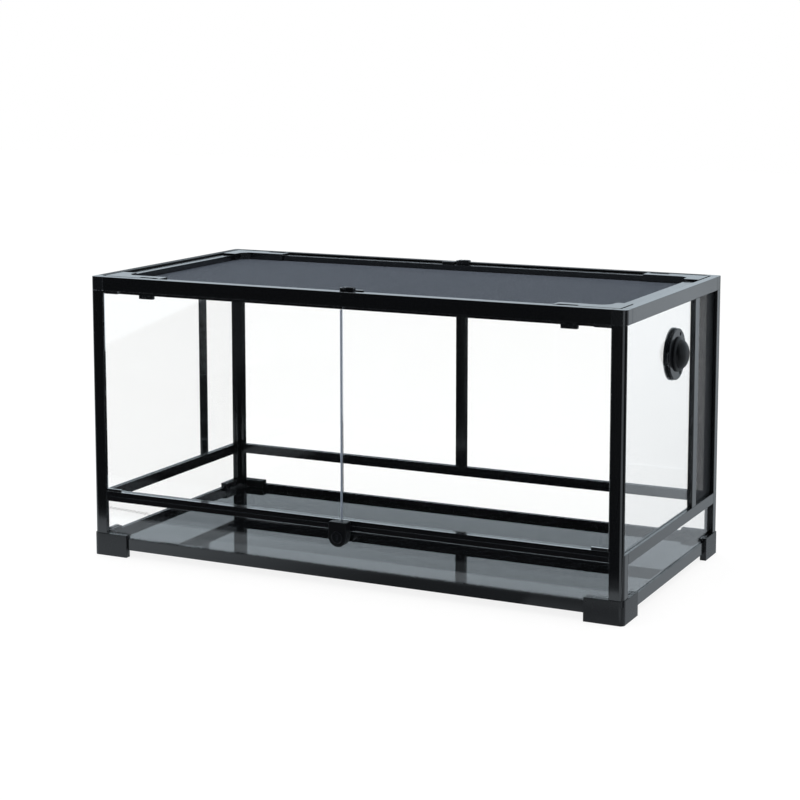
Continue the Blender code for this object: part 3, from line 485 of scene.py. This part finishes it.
def wire_cloth(name, origin, along, across, length, height, pitch, radius, body, material):
    """Two layers of straight wires that cross, in the plane of two directions."""
    bm = bmesh.new()
    normal = along.cross(across)
    for first, second, extent, reach, lift in (
        (along, across, height, length, radius),
        (across, along, length, height, -radius),
    ):
        count = int(extent / pitch)
        margin = (extent - (count - 1) * pitch) / 2
        for index in range(count):
            start = origin + second * (margin + index * pitch) + normal * lift
            add_wire(bm, start, start + first * reach, second, normal, radius)
    return new_piece(name, bm, material, body, smooth=50)


def build_wire_cloth():
    lid = wire_cloth(
        "lid_wire_cloth",
        tank_point(-WIDTH / 2 + LID_NET_INSET, -DEPTH / 2 + LID_NET_INSET, LID_NET_HEIGHT),
        Vector((1, 0, 0)),
        Vector((0, 1, 0)),
        (WIDTH - 2 * LID_NET_INSET) * MM,
        (DEPTH - 2 * LID_NET_INSET) * MM,
        body="lid",
        material=WIRE,
        **LID_WEAVE,
    )
    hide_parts("lid_mesh")
    low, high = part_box("vent_screen")
    screen = wire_cloth(
        "vent_wire_cloth",
        Vector(((low[0] + high[0]) / 2, low[1], SCREEN_LOW * MM)),
        Vector((0, 1, 0)),
        Vector((0, 0, 1)),
        high[1] - low[1],
        SCREEN_RISE * MM,
        body="tank",
        material=SCREEN_WIRE,
        **SCREEN_WEAVE,
    )
    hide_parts("vent_screen")


# Stops beside the lid's turning latches: each one's ends from the tank's centre, in millimetres
LATCH_BOSSES = (("front", 12.0, 27.0), ("rear", -30.5, -6.5))
BOSS_HALF = 3.2
BOSS_ROUND = 3.1
BOSS_LOW = 450.0
BOSS_TOP = 454.6


def rounded_bar(bm, low, high, radius, steps=5):
    """An upright block whose outline in plan is a rectangle with rounded corners."""
    outline = []
    for side_x, side_y, first in ((1, 1, 0), (-1, 1, 90), (-1, -1, 180), (1, -1, 270)):
        centre_x = (high.x - radius) if side_x > 0 else (low.x + radius)
        centre_y = (high.y - radius) if side_y > 0 else (low.y + radius)
        for step in range(steps + 1):
            angle = math.radians(first + 90.0 * step / steps)
            outline.append((centre_x + radius * math.cos(angle), centre_y + radius * math.sin(angle)))
    add_prism(bm, outline, low.z, high.z)


def build_latch_bosses():
    """The low pill-shaped stop beside each turning latch, on the rim."""
    for name, left, right in LATCH_BOSSES:
        low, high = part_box(f"lid_latch_{name}")
        middle_y = (low[1] + high[1]) / 2
        bm = bmesh.new()
        rounded_bar(
            bm,
            Vector(((CENTRE_X + left) * MM, middle_y - BOSS_HALF * MM, BOSS_LOW * MM)),
            Vector(((CENTRE_X + right) * MM, middle_y + BOSS_HALF * MM, BOSS_TOP * MM)),
            BOSS_ROUND * MM,
        )
        piece = new_piece(f"latch_boss_{name}", bm, LID_PLASTIC, "lid", smooth=40)
        soften(piece, 0.7 * MM)


# Strip on the left door's meeting edge, in millimetres
STRIP_WIDTH = 1.1
STRIP_THICK = 0.6
STRIP_CLEAR = 0.1
STRIP_PAST = 0.4
STRIP_WEB_CLEAR = 0.05
STRIP_FOOT = 0.5
STRIP_HEAD = 5.0


def build_door_strip():
    """The grey plastic strip on the left door's meeting edge: a leaf on each face and a web."""
    low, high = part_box("door_glass_left")
    edge = high[0] + STRIP_PAST * MM
    front = low[1] - (STRIP_CLEAR + STRIP_THICK) * MM
    back = high[1] + (STRIP_CLEAR + STRIP_THICK) * MM
    bottom = low[2] + STRIP_FOOT * MM
    top = high[2] - STRIP_HEAD * MM
    bm = bmesh.new()
    for near, far in ((front, low[1] - STRIP_CLEAR * MM), (high[1] + STRIP_CLEAR * MM, back)):
        add_box(bm, (edge - STRIP_WIDTH * MM, near, bottom), (edge, far, top))
    add_box(bm, (high[0] + STRIP_WEB_CLEAR * MM, front, bottom), (edge, back, top))
    piece = new_piece("door_meeting_strip", bm, STRIP, "door_left")
    soften(piece, 0.15 * MM)


# Line printed on the lower front pane, in millimetres
LINE_LEFT = -438.0
LINE_LENGTH = 82.0
LINE_HEIGHT = 78.5
LINE_FALL = 3.5
LINE_SWING = 1.7
LINE_HALF = 0.5
LINE_CLEAR = 0.12
LINE_THICK = 0.06
LINE_WAVES = 11
STEPS_A_WAVE = 8


def build_fill_line():
    """A fine wavy line printed on the lower front pane, near its left end."""
    low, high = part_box("lower_pane_front")
    samples = STEPS_A_WAVE * LINE_WAVES
    bm = bmesh.new()
    last = None
    for index in range(samples + 1):
        share = index / samples
        x = (LINE_LEFT + share * LINE_LENGTH) * MM
        y = low[1] - LINE_CLEAR * MM
        wave = math.sin(2 * math.pi * LINE_WAVES * share)
        z = LINE_HEIGHT - LINE_FALL * share + LINE_SWING * wave
        pair = [bm.verts.new((x, y, (z + shift) * MM)) for shift in (-LINE_HALF, LINE_HALF)]
        if last:
            bm.faces.new((last[0], pair[0], pair[1], last[1]))
        last = pair
    bmesh.ops.solidify(bm, geom=bm.faces[:], thickness=LINE_THICK * MM)
    new_piece("fill_line_print", bm, PRINT, "tank")


# Light and background. The backdrop behind glass makes up for what the glass takes away.
WORLD_LIGHT = 0.85
SEEN_THROUGH = 1.09
BACKDROP_REFLECTED = (0.64, 0.73, 0.8, 1)
DARK_ROOM = 0.015
WHITE = (1, 1, 1, 1)
BLACK = (0, 0, 0, 1)

# The studio's floor
FLOOR_REACH = 9.0
FLOOR_DROP = -0.5 * MM
FLOOR_LIT = (0.62, 0.62, 0.62, 1)
FLOOR_SEEN = (0.86, 0.98)
FLOOR_SHADE = (0.2, 0.2, 0.2, 1)
FLOOR_REFLECTED = (0.85, 0.93, 1.0, 1)

# From where the floor's zones in reflections are measured, near the tank's faces, in metres
ZONE_REAR = 0.23
ZONE_FRONT = -0.217
ZONE_RIGHT = 0.443

# The softbox, in metres
LAMP_SPOT = (-0.3, 0.6, 2.2)
LAMP_AIM = (0, 0, 0.2)


def ray_kinds(g):
    """Rays that come straight or through glass, those that met glass, and mirrored ones."""
    path = g.add("ShaderNodeLightPath")
    mirrored = g.math("GREATER_THAN", path.outputs["Glossy Depth"], 0.5)
    scattered = g.math("GREATER_THAN", path.outputs["Diffuse Depth"], 0.5)
    direct = g.math("SUBTRACT", 1.0, g.math("MAXIMUM", mirrored, scattered))
    through = g.math("GREATER_THAN", path.outputs["Transmission Depth"], 0.5)
    only_mirrored = g.math("MULTIPLY", mirrored, g.math("SUBTRACT", 1.0, scattered))
    return direct, through, only_mirrored


def build_world():
    """White where it is seen straight or through glass; in reflections it is dark ahead of the doors."""
    world = bpy.data.worlds.new("studio")
    bpy.context.scene.world = world
    world.use_nodes = True
    g = Graph(world.node_tree)
    direct, through, mirrored = ray_kinds(g)
    direction = g.add("ShaderNodeTexCoord").outputs["Generated"]
    ahead = g.add(
        "ShaderNodeVectorMath", {0: direction, 1: (-0.1, -1.0, 0.0)}, operation="DOT_PRODUCT"
    )
    lit = g.fade(ahead.outputs["Value"], 0.15, 0.55, 1.0, DARK_ROOM)
    colour = g.mix(mirrored, WHITE, g.mix(lit, BLACK, BACKDROP_REFLECTED))
    seen = g.stretch(through, 1.0, SEEN_THROUGH)
    plain = g.add("ShaderNodeMix", {"Factor": direct, "A": WORLD_LIGHT, "B": seen}, data_type="FLOAT")
    strength = g.math("MAXIMUM", plain.outputs["Result"], mirrored)
    background = g.add("ShaderNodeBackground", {"Color": colour, "Strength": strength})
    g.add("ShaderNodeOutputWorld", {"Surface": background.outputs[0]})


def floor_in_reflections(g):
    """How brightly each place of the floor glows in a reflection: painted light, given by no lamp.

    It is pale beside the tank, and before it in an apron that darkens to the right, in a band
    along the front and in a wedge off the right corner. Elsewhere it is as dark as the room.
    """
    place = g.add("ShaderNodeSeparateXYZ", {0: g.add("ShaderNodeNewGeometry").outputs["Position"]})
    x = place.outputs["X"]
    y = place.outputs["Y"]
    off_centre = g.math("ABSOLUTE", g.math("SUBTRACT", x, CENTRE_X * MM))
    outward = g.math("SUBTRACT", off_centre, WIDTH / 2 * MM)
    backward = g.math("SUBTRACT", y, ZONE_REAR)
    forward = g.math("SUBTRACT", ZONE_FRONT, y)
    rightward = g.math("SUBTRACT", x, ZONE_RIGHT)

    across = g.math("SUBTRACT", outward, g.math("MULTIPLY", backward, 0.28))
    beside = g.math("MULTIPLY", g.fade(across, -0.06, -0.02), g.fade(y, -0.4, -0.2))
    beside = g.math("MULTIPLY", beside, g.fade(y, 0.3, 3.0, 0.52, 0.8))

    apron = g.strip(forward, -0.02, 0.0, 0.19, 0.22)
    apron = g.math("MULTIPLY", apron, g.fade(x, -0.5, 0.1, 0.95, 0.16))
    band = g.strip(forward, 0.09, 0.1, 0.14, 0.155)
    before = g.math("MAXIMUM", apron, band)

    near_edge = g.math("ADD", rightward, g.math("MULTIPLY", forward, 0.25))
    far_edge = g.math("SUBTRACT", g.math("MULTIPLY", forward, 0.7), rightward)
    wedge = g.math("MULTIPLY", g.fade(near_edge, 0.0, 0.01), g.fade(far_edge, 0.0, 0.02))
    wedge = g.math("MULTIPLY", wedge, g.fade(forward, 0.0, 0.01))
    return g.math("MAXIMUM", g.math("MAXIMUM", beside, before), g.math("MAXIMUM", wedge, DARK_ROOM))


def build_floor():
    """A floor that looks white with a soft shadow, and is graded only in reflections."""
    bm = bmesh.new()
    bmesh.ops.create_grid(bm, x_segments=1, y_segments=1, size=FLOOR_REACH)
    bmesh.ops.translate(bm, verts=bm.verts, vec=(0, 0, FLOOR_DROP))
    mesh = mesh_from(bm, "studio_floor")
    floor = link_object("studio_floor", mesh)
    material, g = new_material("pale_floor")
    direct, through, mirrored = ray_kinds(g)
    plain = g.add("ShaderNodeBsdfDiffuse", {"Color": FLOOR_LIT})
    seen = g.stretch(through, *FLOOR_SEEN)
    white = g.add("ShaderNodeEmission", {"Color": WHITE, "Strength": seen})
    shade = g.add("ShaderNodeBsdfDiffuse", {"Color": FLOOR_SHADE})
    shown = g.add("ShaderNodeAddShader", {0: white.outputs[0], 1: shade.outputs[0]})
    # Painted light: the floor's glow in reflections, graded by place
    bright = floor_in_reflections(g)
    image = g.add("ShaderNodeEmission", {"Color": FLOOR_REFLECTED, "Strength": bright})
    first = g.add("ShaderNodeMixShader", {0: direct, 1: plain.outputs[0], 2: shown.outputs[0]})
    second = g.add("ShaderNodeMixShader", {0: mirrored, 1: first.outputs[0], 2: image.outputs[0]})
    finish_surface(g, second.outputs[0])
    mesh.materials.append(material)


def build_lamp():
    lamp = bpy.data.lights.new("overhead_softbox", "AREA")
    lamp.shape = "RECTANGLE"
    lamp.size = 2.4
    lamp.size_y = 1.6
    lamp.energy = 14.0
    holder = link_object("overhead_softbox", lamp)
    holder.location = LAMP_SPOT
    direction = Vector(LAMP_AIM) - holder.location
    holder.rotation_euler = direction.to_track_quat("-Z", "Y").to_euler()


build_camera()
dress_nodes()
round_corners()
build_wire_cloth()
build_latch_bosses()
build_door_strip()
build_fill_line()
build_world()
build_floor()
build_lamp()
